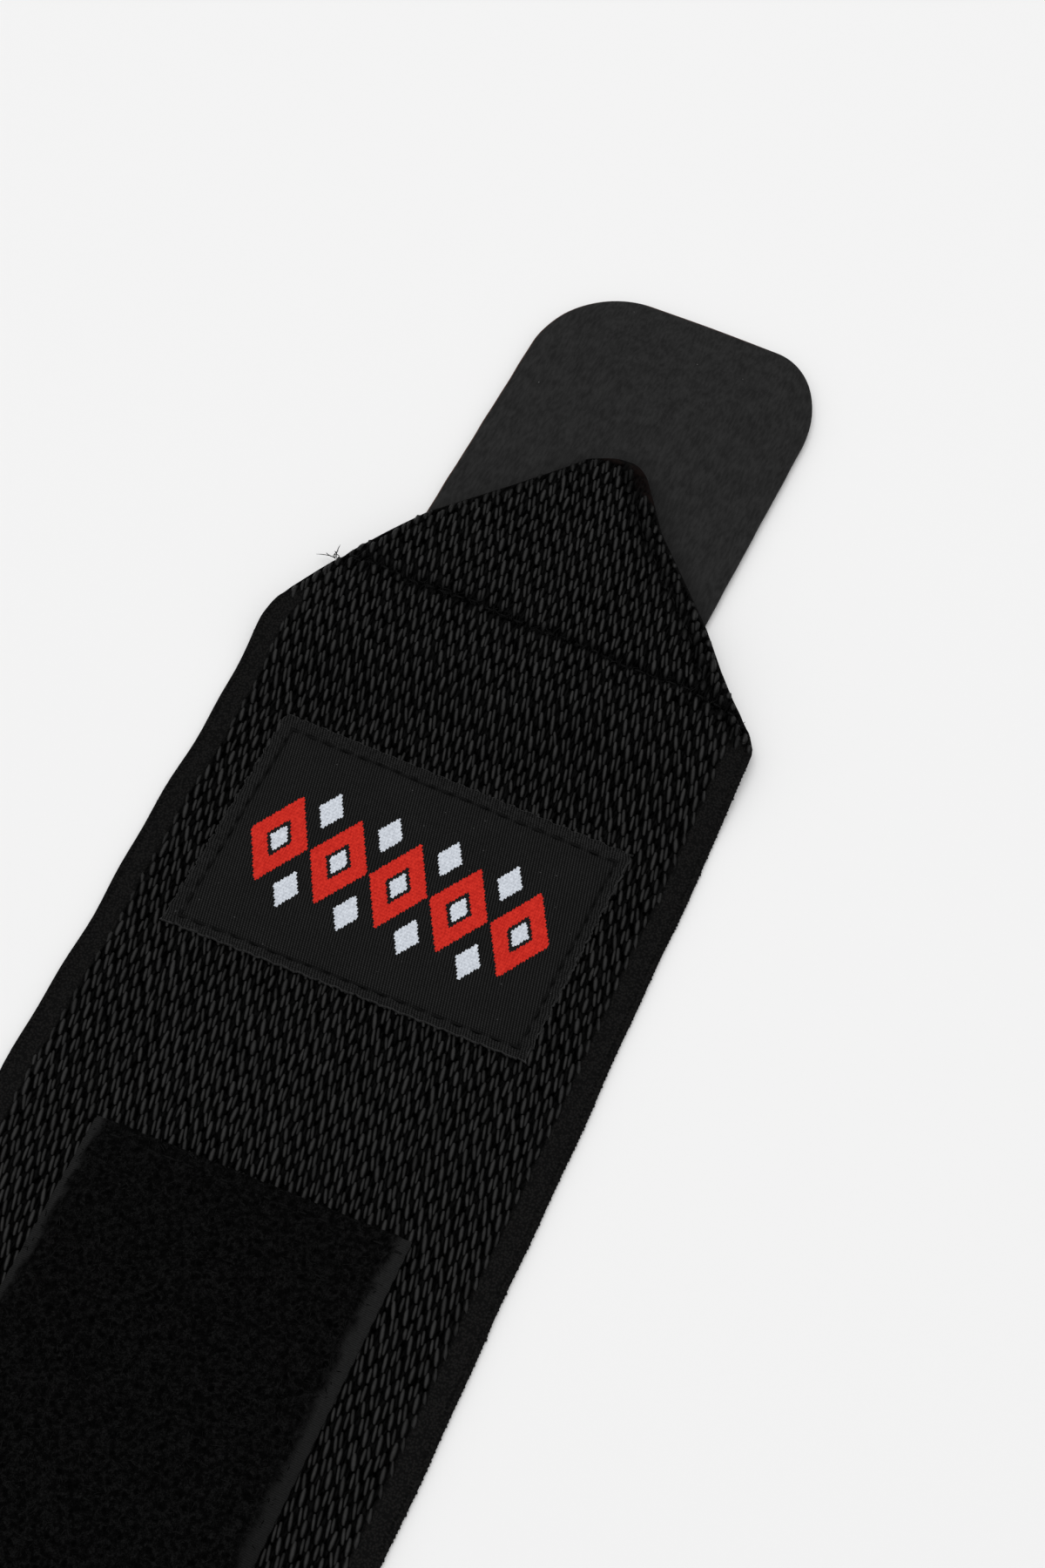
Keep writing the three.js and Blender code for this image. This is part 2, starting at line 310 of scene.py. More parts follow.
# Geometry Nodes: inputs by name, set on the modifier by their identifiers
def newTree(name, measures, counts):
    tree = bpy.data.node_groups.new(name, "GeometryNodeTree")
    face = tree.interface
    kinds = {"Geometry": "Geometry", **dict.fromkeys(measures.split(), "Float")}
    kinds.update({**dict.fromkeys(counts.split(), "Int"), "Finish": "Material"})
    for label, kind in kinds.items():
        face.new_socket(label, in_out="INPUT", socket_type="NodeSocket" + kind)
    face.new_socket("Geometry", in_out="OUTPUT", socket_type="NodeSocketGeometry")
    board = Board(tree)
    return board, board.node("NodeGroupInput", {}, "Geometry")


def swayed(board, given):  # the points' own turn, with a random sway
    most = given["Sway"]
    values = {2: most * -1.0, 3: most, "Seed": given["Seed"]}
    sway = board.node("FunctionNodeRandomValue", values, 1, data_type="FLOAT")
    return board.vector("ADD", {0: board.carried("pose"), 1: board.joined(Z=sway)})


def planted(board, given, shape, turn, **more):  # the shape on every point, as plain mesh
    values = {"Points": given, "Instance": shape, "Rotation": turn, **more}
    placed = board.node("GeometryNodeInstanceOnPoints", values)
    real = board.node("GeometryNodeRealizeInstances", {"Geometry": placed})
    soft = board.node("GeometryNodeSetShadeSmooth", {"Geometry": real, "Shade Smooth": True})
    values = {"Geometry": soft, "Material": given["Finish"]}
    dyed = board.node("GeometryNodeSetMaterial", values)
    board.node("NodeGroupOutput", {"Geometry": dyed})
    return board.tree


def spindle(board, given):  # one strand along Y, ridge up, its ends bent down by Arch
    values = {"Segments": given["Sides"], "Rings": given["Rings"], "Radius": 0.5}
    ball = board.node("GeometryNodeMeshUVSphere", values)
    upright = Matrix(((0, 1, 0), (0, 0, 1), (1, 0, 0))).to_euler()
    laid = board.node("GeometryNodeTransform", {"Geometry": ball, "Rotation": upright[:]})
    length = given["Length"]
    size = board.joined(X=given["Width"], Y=length, Z=given["Height"])
    sized = board.node("GeometryNodeTransform", {"Geometry": laid, "Scale": size})
    x, y = board.parts(board.node("GeometryNodeInputPosition"))[:2]
    reach = y / (length * 0.5)
    away = reach * reach
    drop = board.joined(X=x * away * 0.5, Z=away * given["Arch"] * -1.0)
    return board.node("GeometryNodeSetPosition", {"Geometry": sized, "Offset": drop})


def strandTree():  # a strand on every point, turned by pose and sized by grow
    board, given = newTree("strands", "Length Width Height Arch Sway", "Sides Rings Seed")
    turn, grow = swayed(board, given), board.carried("grow")
    return planted(board, given, spindle(board, given), turn, Scale=grow)


def stitchTree():  # stitches along the edges of a mesh of lines
    board, given = newTree("stitches", "Pitch Length Width Height Arch", "Sides Rings")
    line = board.node("GeometryNodeMeshToCurve", {"Mesh": given})
    values = {"Curve": line, "Length": given["Pitch"]}
    spaced = board.node("GeometryNodeResampleCurve", values, mode="LENGTH")
    along = board.node("GeometryNodeInputTangent")
    turn = board.node("FunctionNodeAlignRotationToVector", {"Vector": along}, axis="Y")
    return planted(board, given, spindle(board, given), turn, Points=spaced)


def hookTree():  # a small hook hanging from every point, turned by pose
    board, given = newTree("hooks", "Stem Curl Thickness Sway", "Steps Seed")
    steps, curl = given["Steps"], given["Curl"]
    line = board.node("GeometryNodeMeshLine", {"Count": steps})
    index = board.node("GeometryNodeInputIndex")
    straight = board.math("MINIMUM", index, 2.0) * 0.5
    bent = board.math("MAXIMUM", index - 2.0, 0.0) / (steps - 3.0) * (1.2 * math.pi)
    x = (1.0 - board.math("COSINE", bent)) * curl
    z = straight * given["Stem"] + board.math("SINE", bent) * curl
    values = {"Geometry": line, "Position": board.joined(X=x, Z=z)}
    shaped = board.node("GeometryNodeSetPosition", values)
    curve = board.node("GeometryNodeMeshToCurve", {"Mesh": shaped})
    values = {"Resolution": 3, "Radius": given["Thickness"]}
    ring = board.node("GeometryNodeCurvePrimitiveCircle", values)
    values = {"Curve": curve, "Profile Curve": ring, "Fill Caps": True}
    wire = board.node("GeometryNodeCurveToMesh", values)
    return planted(board, given, wire, swayed(board, given))


lengthInputs = ("Length", "Width", "Height", "Arch", "Pitch", "Stem", "Curl", "Thickness")


def grown(host, tree, values):  # the tree's result as the host's plain mesh
    modifier = host.modifiers.new("nodes", "NODES")
    modifier.node_group = tree
    for item in tree.interface.items_tree:
        if item.in_out == "INPUT" and item.name in values:
            value = values[item.name]
            modifier[item.identifier] = value * mm if item.name in lengthInputs else value
    host.update_tag()
    graph = bpy.context.evaluated_depsgraph_get()
    mesh = bpy.data.meshes.new_from_object(host.evaluated_get(graph))
    host.modifiers.remove(modifier)
    old = host.data
    host.data = mesh
    bpy.data.meshes.remove(old)
    mesh.name = host.name
    return host


def newStrands(name, points, pose, grow, tone, size, **values):
    host = linked(name, newMesh(name, points, {"pose": pose, "grow": grow, "tone": tone}))
    sizes = dict(zip(("Length", "Width", "Height"), size))
    return grown(host, strandNodes, {**sizes, **values})


def turning(turns, tilt=0):  # the pose of points that turn about Z
    return np.stack([0 * turns + tilt, 0 * turns, turns], 1)


def pointsOf(piece):  # its vertices in millimetres
    points = np.zeros(len(piece.data.vertices) * 3)
    piece.data.vertices.foreach_get("co", points)
    return points.reshape(-1, 3) / mm


def moved(piece, place):  # every vertex of a finished mesh through place(points)
    points = (place(pointsOf(piece)) * mm).astype(np.float32)
    piece.data.vertices.foreach_set("co", points.ravel())
    piece.data.update()
    return piece


def report(*pieces):
    for piece in pieces:
        print(piece.name + ":", len(piece.data.polygons), "faces")


strandNodes, stitchNodes, hookNodes = strandTree(), stitchTree(), hookTree()
print("node trees built")


# Pale floor and soft studio light
room = {
    "floor": 0.83, "floorReach": 3000, "floorLevel": -0.1, "ambient": 0.68,
    "keyPlace": (-50, 350, 1450), "keyTarget": (0, 150, 0), "keySize": 1400, "keyPower": 11,
}


def floorLook(board):
    return {"Base Color": grey(room["floor"]), "Roughness": 0.8}


corners = np.array([(-1, -1), (1, -1), (1, 1), (-1, 1)]) * room["floorReach"]
corners = np.column_stack([corners, np.full(4, room["floorLevel"])])
newPiece("floor", corners, [(0, 1, 2, 3)], newFinish("pale floor", floorLook))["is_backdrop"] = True

world = bpy.data.worlds.new("soft room")
world.use_nodes = True
world.node_tree.nodes["Background"].inputs["Color"].default_value = (1, 1, 1, 1)
world.node_tree.nodes["Background"].inputs["Strength"].default_value = room["ambient"]
bpy.context.scene.world = world

softbox = linked("key softbox", bpy.data.lights.new("key softbox", "AREA"))
softbox.data.shape = "SQUARE"
softbox.data.size = room["keySize"] * mm
softbox.data.energy = room["keyPower"]
softbox.location = Vector(room["keyPlace"]) * mm
softbox.rotation_euler = facing(Vector(room["keyTarget"]) - Vector(room["keyPlace"]))
bpy.context.scene.view_settings.view_transform = "Standard"


# Elastic band: the same outline and rises as its solid
band = {
    "thickness": 1.5, "selvedge": 3.7, "selvedgeTop": 1.0, "selvedgeStep": 0.6, "bevel": 0.35,
    "hem": 12, "hemRamp": 14, "hemSeam": 2.2, "pointLength": 45.8, "noseOffset": 1.5,
    "foldRadius": 1.5, "foldRoll": 2.7, "rise": 17, "droop": 1.5, "levelHalf": 26.8,
    "stepWidth": 0.3, "tabStack": 1.8, "seamDepth": 0.45, "seamHalf": 1.2, "hemSeamDepth": 0.3,
    "edgeSeamInset": (1.9, 3.1), "edgeSeamDepth": (0.12, 0.5), "waveLeft": 0.3,
    "waveRight": 0.14, "ground": 0.27, "bareNose": 1.5, "lipReach": 5.5,
}
outline = np.array([
    (-0.08, 1.0, 1.0), (-0.03, 0.993, 1.0), (0.0, 0.983, 1.0), (0.045, 0.967, 0.995),
    (0.1, 0.932, 0.958), (0.15, 0.9, 0.903), (0.205, 0.861, 0.837), (0.29, 0.796, 0.748),
    (0.43, 0.691, 0.618), (0.52, 0.623, 0.52), (0.751, 0.369, 0.268), (0.9, 0.211, 0.151),
    (0.961, 0.152, 0.103), (0.989, 0.078, 0.065), (1.0, 0.025, 0.028),
])
bandLow, bandHigh = (np.array(corner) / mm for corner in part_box("elastic_band"))
halfBand = (bandHigh[0] - bandLow[0]) / 2
farEnd, nose = bandLow[1], bandHigh[1]
shoulder = nose - band["pointLength"]
hemEdge = farEnd + band["hem"]
hemSeam = hemEdge - band["hemSeam"]


def bandEdges(y):
    along = (y - shoulder) / band["pointLength"]
    shift = band["noseOffset"] * smooth(0, 1, along)
    calm = 1 - smooth(shoulder - 6, shoulder, y)
    left = shift - halfBand * np.interp(along, outline[:, 0], outline[:, 1])
    right = shift + halfBand * np.interp(along, outline[:, 0], outline[:, 2])
    left = left + calm * band["waveLeft"] * (0.6 * np.sin(y / 6.1 + 1) + 0.4 * np.sin(y / 2.7))
    right = right + calm * band["waveRight"] * (0.6 * np.sin(y / 7.3) + 0.4 * np.sin(y / 3.1 + 2))
    return left, right


def crossLine(left, middle, right):  # a line across the point, from its shares of the length
    ends = [shoulder + band["pointLength"] * share for share in (left, middle, right)]
    low, high = bandEdges(np.array(ends[0]))[0], bandEdges(np.array(ends[2]))[1]

    def place(share):
        bulge = ends[1] - (ends[0] + ends[2]) / 2
        wander = 0.25 * np.sin(share * 24) + 0.13 * np.sin(share * 61)
        return ends[0] + (ends[2] - ends[0]) * share + bulge * 4 * share * (1 - share) + wander

    return place, lambda x: place(np.clip((x - low) / (high - low), 0, 1))


def lineEnds(line):  # where a line across the band meets the outline
    return bandEdges(line(np.array(0.0)))[0], bandEdges(line(np.array(1.0)))[1]


seamPlace, seamAt = crossLine(0.235, 0.195, 0.142)
cornerPlace, cornerAt = crossLine(0.03, 0.12, 0.03)
seamLow, seamHigh = lineEnds(seamPlace)


def sideInsets(x, y, near=0.4):  # distance from the left and from the right outline
    left, right = bandEdges(y)
    ahead, behind = bandEdges(y + near), bandEdges(y - near)
    leftRun, rightRun = ((ahead[side] - behind[side]) / (2 * near) for side in (0, 1))
    return (x - left) / np.hypot(1, leftRun), (right - x) / np.hypot(1, rightRun)


def edgeInset(x, y):
    return np.minimum(*sideInsets(x, y))


def toLip(x, y):  # distance from the bare lip at the nose, which runs down its right side
    beside = 0.75 * sideInsets(x, y)[1] + np.maximum(nose - band["lipReach"] - y, 0)
    return np.where(x > 0, np.minimum(nose - y, beside), nose - y)


def inPoint(y):  # 1 over the folded point, 0 below it
    return smooth(shoulder - band["stepWidth"], shoulder + band["foldRadius"], y)


def slanted(y):  # 1 beside the slanted edges, more gently
    return smooth(shoulder - 1, shoulder + 3, y)


def roundShare(inset, radius):
    short = np.clip(1 - inset / radius, 0, 1)
    return np.sqrt(np.maximum(1 - short * short, 0.03))


def faceBottom(x, y):
    hem = 1 - smooth(hemEdge, hemEdge + band["hemRamp"], y)
    rise = smooth(shoulder - band["rise"], shoulder + band["stepWidth"], y)
    droop = band["droop"] * smooth(band["levelHalf"], halfBand, np.abs(x))
    return hem * band["thickness"] + rise * (band["thickness"] + band["tabStack"] - droop)


def grooves(x, y, insets):
    seam = band["seamDepth"] * (1 - smooth(0.1, band["seamHalf"], np.abs(y - seamAt(x))))
    hem = band["hemSeamDepth"] * (1 - smooth(0.1, 1.0, np.abs(y - hemSeam)))
    along = smooth(shoulder - 1, shoulder + 2, y) * (1 - smooth(nose - 5, nose - 3, y))
    left, right = (
        depth * along * (1 - smooth(0.1, wide, np.abs(inset - place)))
        for inset, place, depth, wide
        in zip(insets, band["edgeSeamInset"], band["edgeSeamDepth"], (0.9, 1.0))
    )
    return np.maximum.reduce([seam, left, right, hem])


def weaveShare(x, y):  # 1 where the band has its floats, 0 on the selvedges and the nose
    inset, bare = edgeInset(x, y), nose - band["bareNose"]
    corner = smooth(shoulder - 0.3, shoulder + 3, y)
    inner = smooth(band["selvedge"], band["selvedge"] + band["selvedgeStep"], inset)
    folded = smooth(-0.2, 0.8, inset) * (1 - smooth(bare, bare + 1, y))
    return inner + (folded - inner) * corner


def clothTop(x, y):  # height of the tops of the floats
    insets = sideInsets(x, y)
    inset = np.minimum(*insets)
    places = [0, band["bevel"], band["selvedge"], band["selvedge"] + band["selvedgeStep"]]
    levels = [0.75, band["selvedgeTop"], band["selvedgeTop"], band["thickness"]]
    shelf = np.interp(inset, places, levels)
    rounded = band["thickness"] * roundShare(np.minimum(inset, nose - y), band["foldRoll"])
    height = shelf + (rounded - shelf) * inPoint(y)
    height = np.minimum(height, band["thickness"] * roundShare(y - farEnd, band["foldRadius"]))
    return faceBottom(x, y) + height - grooves(x, y, insets)


def clothUnder(x, y, folded):  # height of the underside; folded counts the layer below
    inset, corner = edgeInset(x, y), inPoint(y)
    ends = np.minimum(nose - y, y - farEnd)
    bevel = np.interp(inset, [0, band["bevel"]], [0.25, 0]) * (1 - corner)
    reach = np.where(corner > 0.5, np.minimum(inset, ends), ends)
    layer = band["thickness"] * roundShare(reach, band["foldRadius"])
    return faceBottom(x, y) + np.where(folded, -layer, 0) + bevel


# Rows of the band's mesh: lines across it, and whether a folded layer lies below
def bandRows():
    def straight(y):
        return lambda share: np.full_like(share, y)

    def blend(first, second, part):
        return lambda share: first(share) * (1 - part) + second(share) * part

    rims = (0, 0.15, 0.45, 0.9, 1.5)
    rows = [(straight(farEnd + offset), True) for offset in rims]

    def fill(last, step, folded):
        start = rows[-1][0]
        count = max(1, round(float(last(np.array(0.5)) - start(np.array(0.5))) / step))
        for part in range(1, count + 1):
            rows.append((blend(start, last, part / count), folded))

    fill(straight(hemEdge - 0.02), 0.75, True)
    rows.append((straight(hemEdge), False))
    fill(straight(hemEdge + band["hemRamp"]), 1.4, False)
    fill(straight(shoulder - band["rise"]), 2.4, False)
    fill(straight(shoulder - 3), 0.9, False)
    fill(lambda share: cornerPlace(share) - 0.02, 0.6, False)
    rows.append((cornerPlace, True))
    fill(seamPlace, 0.45, True)
    fill(straight(nose - 1.5), 0.55, True)
    return rows + [(straight(nose - offset), True) for offset in rims[3::-1]]


def bandGrid():
    rims = np.array([0, 0.12, 0.35, 0.6, 0.95, 1.4, 1.9, 2.4, 3.0, 3.7, 4.0, 4.3, 5.0])
    upper, lower, cloth = [], [], []
    for line, folded in bandRows():
        low, high = lineEnds(line)
        x = spread(low, high, rims * min(1.0, (high - low) / (rims[-1] * 3)), 37)
        y = line((x - low) / (high - low))
        share = weaveShare(x, y)
        top = clothTop(x, y) - band["ground"] * share
        under = clothUnder(x, y, folded) + band["ground"] * share * 0.9
        upper.append(np.stack([x, y, np.maximum(top, under + 0.2)], 1))
        lower.append(np.stack([x, y, under], 1))
        cloth.append(np.stack([edgeInset(x, y), share, toLip(x, y)], 1))
    return np.array(upper), np.array(lower), {"cloth": np.array(cloth)}


# Weft loops that stand along both outer edges, with a small hole beside each
loops = {"pitch": 0.66, "size": (0.62, 0.54, 0.46), "level": 0.38, "inset": 0.17, "tone": 0.55}


def groundLook(board):
    plan, pitch = board.plan(), loops["pitch"]
    y = board.parts(plan)[1]
    inset, woven, toNose = board.parts(board.attribute("cloth"))
    grain, slow = board.cells(plan, 0.33), board.noise(plan, 2.5)
    beat = y / pitch - board.math("FLOOR", y / pitch) - 0.5
    ringX, ringY = (inset - 0.85) / 0.22, beat * pitch / 0.2
    hole = 1 - board.step(ringX * ringX + ringY * ringY, 0.4, 1.3)
    selvedge = board.mix(board.step(grain, 0.2, 0.7), grey(0.0098, 0.03), grey(0.0045))
    selvedge = board.mix(hole * 0.35, selvedge, grey(0.0012))
    # partly painted shade: the weave ground between the floats is kept near black for the shade in
    # the gaps, with its own streaky yarn texture
    yarns = board.step(board.noise(plan, 0.8, 1.0, (2.4, 0.6, 1), -20), 0.34, 0.74)
    plain = board.mix(woven, selvedge, board.mix(yarns, grey(0.0002), grey(0.0040)))
    bare = (1 - board.step(toNose, 0.6, 2.2)) * board.step(slow, 0.3, 0.6)
    colour = board.mix(bare, plain, (0.0072, 0.0050, 0.0046, 1))
    return board.surface(colour, 0.7, grain * -0.6 + slow * 0.4 - hole * 0.8, 0.1)


groundFinish = newFinish("elastic ground", groundLook, 0.0)
elasticBase = newSheet("elastic_ground", bandGrid(), groundFinish, 70)
report(elasticBase)


# Label and pad: where they lie, also used to leave the weave out below them
label = {
    "width": 58.5, "height": 39.2, "turn": -1.8, "taper": 1.1, "noseToLabel": 66.6,
    "rest": 1.42, "crown": 0.62, "stitchInset": (2.2, 1.7, 1.6, 2.3), "stitchPitch": 3.0,
    "stitch": 2.25, "stitchLevel": 0.55, "grid": 0.42,
}
pad = {
    "width": 48.9, "length": 190.0, "base": 0.7, "pile": 1.2, "turn": -0.3, "offset": 0.85,
    "labelToPad": 32.0, "rest": 1.45, "edgeLeft": 1.2, "edgeRight": 1.9,
}
labelTop = nose - label["noseToLabel"]
labelMiddle = (0.0, labelTop - label["height"] / 2)
padCorner = (pad["offset"], labelTop - label["height"] - pad["labelToPad"])


def onLabel(x, y):
    across, up = turnedBy(-label["turn"], x - labelMiddle[0], y - labelMiddle[1])
    return (np.abs(across) < label["width"] / 2 - 1.2) & (np.abs(up) < label["height"] / 2 - 1.4)


def onPad(x, y):
    across, up = turnedBy(-pad["turn"], x - padCorner[0], y - padCorner[1])
    return (np.abs(across) < pad["width"] / 2 - 1.2) & (up < -1.3) & (up > 1.2 - pad["length"])


# Weave: one bold float and a crossing pair in each cell of a centred lattice
weave = {
    "across": 2.064, "along": 3.54, "alongPoint": 3.97, "arch": 0.2, "sway": 0.02,
    "floats": (3.05, 1.0, 0.64), "lean": 12.0, "level": 0.15,
    "pairs": (2.85, 0.82, 0.5), "pairLean": 13.0, "pairLevel": 0.1, "pairShift": -0.06,
    "pairSpread": (0.24, 0.36), "pairTones": (0.66, 0.84), "hidden": (22, 12),
    "seamGap": 0.35, "seamReach": 1.7, "grooveWide": 1.2, "rollLeft": 4.2, "seamWide": 0.8,
    "stray": (0.045, 0.07), "vary": (0.07, 0.08, 0.1), "toneVary": 0.16, "turnVary": 0.06,
}


def rowPlaces():  # the band is stretched a little more towards the point
    places = [farEnd - weave["along"]]
    while places[-1] < nose:
        share = smooth(shoulder - 100, shoulder + 25, places[-1])
        places.append(places[-1] + weave["along"] + (weave["alongPoint"] - weave["along"]) * share)
    return np.array(places)


def latticePoints(shiftX, shiftY):
    half = math.ceil(halfBand / weave["across"])
    rows = rowPlaces()
    rows = rows[:-1] + np.diff(rows) * shiftY
    x, y = np.meshgrid((np.arange(-half, half + 1) + shiftX) * weave["across"], rows)
    y = y + 0.30 * np.sin(x / 11.0 + y / 70.0) + 0.16 * np.sin(x / 4.3 - y / 31.0)
    x = x + 0.12 * np.sin(y / 9.0 + x / 13.0)
    return x.ravel(), y.ravel()


def floats(shift, offset, lean, level, underside):
    x, y = latticePoints(*shift)
    x = x + offset[0] + draw.normal(0, weave["stray"][0], len(x))
    y = y + offset[1] + draw.normal(0, weave["stray"][1], len(y))
    side = -1 if underside else 1
    plan = side * x
    inset, fromSeam = edgeInset(plan, y), y - seamAt(plan)
    straight = (y < shoulder) & (inset > band["selvedge"] + 0.15)
    pointed = (y >= shoulder) & (inset > 0.2) & (toLip(plan, y) > band["bareNose"] + 0.4)
    keep = (straight | pointed) & (y > farEnd + 0.4) & (np.abs(y - hemSeam) > 0.4)
    if underside:
        edge = np.minimum(np.abs(y - cornerAt(plan)), np.abs(y - hemEdge))
        half, start = weave["hidden"]
        keep &= (edge > 0.9) & ~((np.abs(plan) < half) & (y > shoulder + start))
    else:
        keep &= ~onLabel(plan, y) & ~onPad(plan, y) & (np.abs(fromSeam) > weave["seamGap"])
    x, y, fromSeam = x[keep], y[keep], fromSeam[keep]
    near = (not underside) * (1 - smooth(weave["seamGap"], weave["seamReach"], np.abs(fromSeam)))
    y = y + np.sign(fromSeam) * near * 0.3
    tips = [edgeInset(side * (x + way * 0.3), y + way * 1.5) for way in (-1, 1)]
    room = np.where(slanted(y) > 0, np.clip(1 + np.minimum(*tips) / 1.7, 0.35, 1), 1)
    wide, long, tall = (draw.normal(1, vary, len(x)) for vary in weave["vary"])
    grow = np.stack([wide, long * (1 - 0.3 * near) * room, tall], 1)
    # painted shade: floats darker near the seam across the point
    tone = draw.normal(1, weave["toneVary"], len(x)) * (1 - 0.25 * near)
    pose = turning(math.radians(lean) + draw.normal(0, weave["turnVary"], len(x)))
    return np.stack([x, y, 0 * x + level], 1), pose, np.clip(grow, 0.35, 1.4), tone


def heldIn(x, y, margin):  # x kept between the slanted edges
    low, high = bandEdges(np.minimum(y, nose))
    return np.where(y > shoulder - 4, np.clip(x, low + margin, high - margin), x)


def drapeOnFace(points):
    x, y, lift = points.T
    toLeft, toRight = sideInsets(x, y)
    over = np.clip(0.1 - np.minimum(toLeft, toRight), 0, 2) * (y > shoulder - 2)
    back = over * (1.6 + 0.8 * (toRight < toLeft))
    x = np.where(toLeft < toRight, x + back, x - back)
    step = 0.2
    slopeX = (clothTop(x + step, y) - clothTop(x - step, y)) / (2 * step)
    slopeY = (clothTop(x, y + step) - clothTop(x, y - step)) / (2 * step)
    slopeX, slopeY = np.clip(slopeX, -1.5, 1.5), np.clip(slopeY, -1.5, 1.5)
    height = clothTop(x, y) - band["ground"] - 0.9 * over
    length = np.sqrt(1 + slopeX**2 + slopeY**2)
    x, y = x - slopeX / length * lift, y - slopeY / length * lift
    return np.stack([heldIn(x, y, -0.15), y, height + lift / length], 1)


def drapeOnUnderside(points):
    x, y, lift = points.T
    x, y = heldIn(-x, y, 0.5), np.minimum(y, nose - 0.6)
    height = clothUnder(x, y, (y > cornerAt(x)) | (y < hemEdge)) + band["ground"]
    return np.stack([x, y, np.maximum(height - lift, 0.0)], 1)


def withPaintedShade(piece):  # painted shade: the strands' tone darkened in the right groove, along the seam and near the slanted edges
    x, y = pointsOf(piece).T[:2]
    toLeft, toRight = sideInsets(x, y)
    sunk = np.exp(-(((toRight - band["edgeSeamInset"][1]) / weave["grooveWide"]) ** 2))
    rolled = np.minimum(smooth(-0.3, weave["rollLeft"], toLeft), smooth(-0.6, 1.2, toRight))
    seam = np.exp(-(((y - seamAt(x)) / weave["seamWide"]) ** 2))
    paintedShadeShare = np.maximum(slanted(y) * np.maximum(sunk * 0.95, 0.75 * (1 - rolled)), seam * 0.55)
    tones = piece.data.attributes["tone"].data
    tone = np.zeros(len(x))
    tones.foreach_get("value", tone)
    tones.foreach_set("value", (tone * (1 - paintedShadeShare)).astype(np.float32))
    return piece


def yarnLook(board):
    plan = board.plan()
    x, y = board.parts(plan)[:2]
    filaments, fuzz = board.ribs(x, y, 0.2, -30), board.noise(plan, 0.4)
    # painted shade and highlight: each strand's colour is brightest where its surface faces up and
    # darkens down its flanks
    lit = board.upright() ** 3.4 * board.attribute("tone", "Fac")
    lit = lit * (0.85 + 0.15 * filaments) * (0.55 + 0.9 * fuzz)
    colour = board.mix(lit, grey(0.0012), grey(0.0270, 0.01))
    return board.surface(colour, 0.5, filaments * 0.4 + fuzz * 0.6, 0.05)


yarnFinish = newFinish("elastic yarn", yarnLook, 0.06)


def newWeave(name, underside):
    centre, (sx, sy) = (0.5, 0.5 + weave["pairShift"]), weave["pairSpread"]
    bold = floats((0, 0), (0, 0), weave["lean"], weave["level"], underside)
    first, second = (
        floats(centre, offset, weave["pairLean"], weave["pairLevel"], underside)
        for offset in ((sx, sy), (-sx, -sy))
    )
    pairs = first  # the underside has one strand of each pair
    if not underside:
        for strands, share in zip((first, second), weave["pairTones"]):
            strands[-1][:] *= share
        pairs = [np.concatenate(fields) for fields in zip(first, second)]
    made = []
    for kind, strands, rings, seed in (("floats", bold, 5, 3), ("pairs", pairs, 4, 4)):
        piece = newStrands(
            name + "_" + kind, *strands, weave[kind], Arch=weave["arch"], Sway=weave["sway"],
            Sides=3 if underside else 4, Rings=3 if underside else rings, Seed=seed,
            Finish=yarnFinish,
        )
        made.append(moved(piece, drapeOnUnderside if underside else drapeOnFace))
    return made


faceWeave = [withPaintedShade(piece) for piece in newWeave("weave_face", False)]
weavePieces = faceWeave + newWeave("weave_back", True)
report(*weavePieces)


# Sewing thread, the same for every seam
stitch = {"width": 0.42, "height": 0.34, "arch": 0.16, "strand": 0.07}


def threadLook(board):
    x, y, z = board.parts(board.plan())
    twist = board.ribs(x + z, y, 0.22, 35)
    return board.surface(board.mix(twist, grey(0.0008), grey(0.005)), 0.75, twist, 0.04)


threadFinish = newFinish("sewing thread", threadLook, 0.08)


def sewn(name, paths, pitch, length, width=stitch["width"], height=stitch["height"]):
    host = linked(name, newMesh(name, np.concatenate(paths), {}))
    edges, count = [], 0
    for path in paths:
        edges += [(at, at + 1) for at in range(count, count + len(path) - 1)]
        count += len(path)
    host.data.edges.add(len(edges))
    host.data.edges.foreach_set("vertices", np.array(edges, np.int32).ravel())
    host.data.update()
    return grown(host, stitchNodes, {
        "Pitch": pitch, "Length": length, "Width": width, "Height": height,
        "Arch": stitch["arch"], "Sides": 5, "Rings": 5, "Finish": threadFinish,
    })


def onCloth(x, y, lift):  # points on the face of the band
    return np.stack([x, y, clothTop(x, y) + lift], 1)


bandStitch = {
    "pitch": 2.55, "length": 2.0, "width": 0.34, "lift": -0.12, "sunk": -0.24, "under": 0.16,
}


def bandSeams():
    across = seamLow + (seamHigh - seamLow) * np.linspace(0.035, 0.965, 60)
    ys = np.linspace(seamPlace(np.array(0.02)) + 1.0, nose - 4.5, 50)
    right, ahead = bandEdges(ys)[1], bandEdges(ys + 0.4)[1]
    beside = right - band["edgeSeamInset"][1] * np.hypot(1, (ahead - right) / 0.4)
    hemX, hemY = np.linspace(-halfBand + 1.2, halfBand - 1.2, 40), np.full(40, hemSeam)
    return [
        onCloth(across, seamAt(across), bandStitch["sunk"]),
        onCloth(beside, ys, bandStitch["sunk"]),
        onCloth(hemX, hemY, bandStitch["lift"]),
        np.stack([hemX, hemY, np.full(40, bandStitch["under"])], 1),
    ]


bandStitches = sewn(
    "band_stitches", bandSeams(), bandStitch["pitch"], bandStitch["length"], bandStitch["width"]
)


